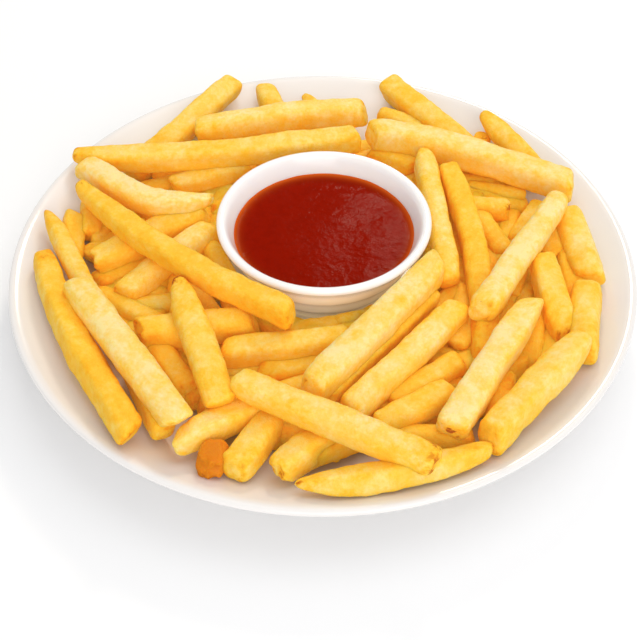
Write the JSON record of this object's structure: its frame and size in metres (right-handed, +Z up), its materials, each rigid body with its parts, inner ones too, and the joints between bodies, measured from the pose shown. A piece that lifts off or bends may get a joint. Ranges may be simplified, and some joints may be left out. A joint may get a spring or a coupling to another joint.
{
  "type": "plate of french fries",
  "caption": "Round coupe plate heaped with straight-cut french fries around a small flared ramekin filled with ketchup.",
  "frame": {"origin": "middle of the plate's foot ring, on the plane it stands on", "axes": "+Z up; -Y is the near side of the picture and +X its right"},
  "size_m": [0.24, 0.24, 0.038],
  "materials": {
    "plate_glaze": "gloss",
    "ramekin_glaze": "gloss",
    "ketchup": "gloss",
    "fried_potato": "satin"
  },
  "bodies": {
    "root": {"plate": "plate_glaze", "ramekin": "ramekin_glaze", "ketchup": "ketchup", "fries": "fried_potato"}
  },
  "joints": []
}
